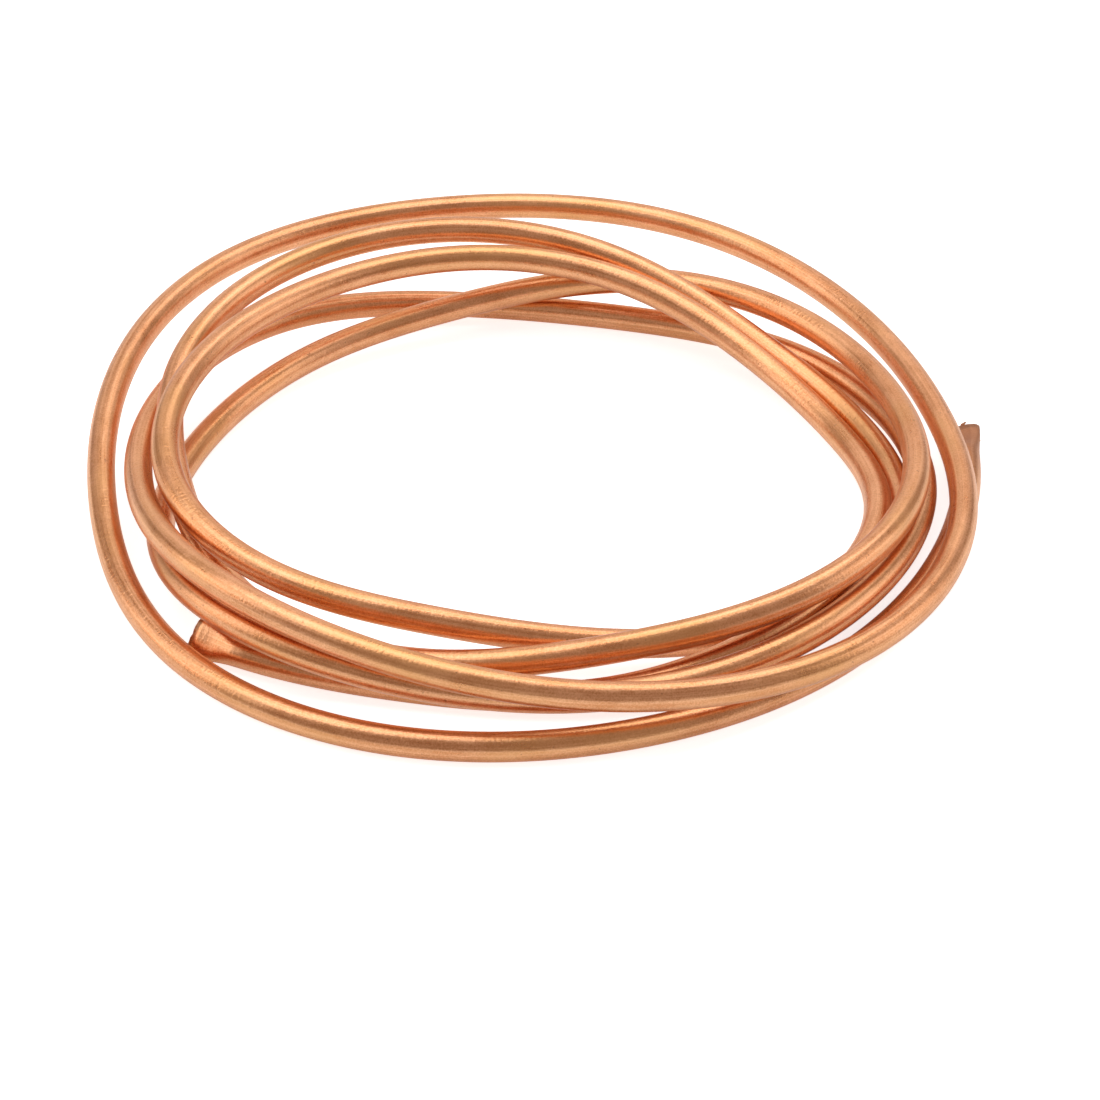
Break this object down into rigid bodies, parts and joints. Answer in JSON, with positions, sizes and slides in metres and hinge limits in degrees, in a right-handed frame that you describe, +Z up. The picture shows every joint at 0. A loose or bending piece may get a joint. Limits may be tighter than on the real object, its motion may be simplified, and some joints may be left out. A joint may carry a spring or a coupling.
{
  "type": "copper tube coil",
  "caption": "Loose, uneven coil of bare soft copper tube lying flat, with both ends pinched shut; raw stock to cut and bend.",
  "frame": {"origin": "middle of the coil's footprint, on the surface it lies on", "axes": "+Z up out of the lying coil, +X to the picture's right, +Y away from the picture's camera"},
  "size_m": [0.2062, 0.2192, 0.027],
  "materials": {
    "copper": "satin bare copper, bright drawn"
  },
  "bodies": {
    "root": {"copper_tube": "copper"}
  },
  "joints": []
}
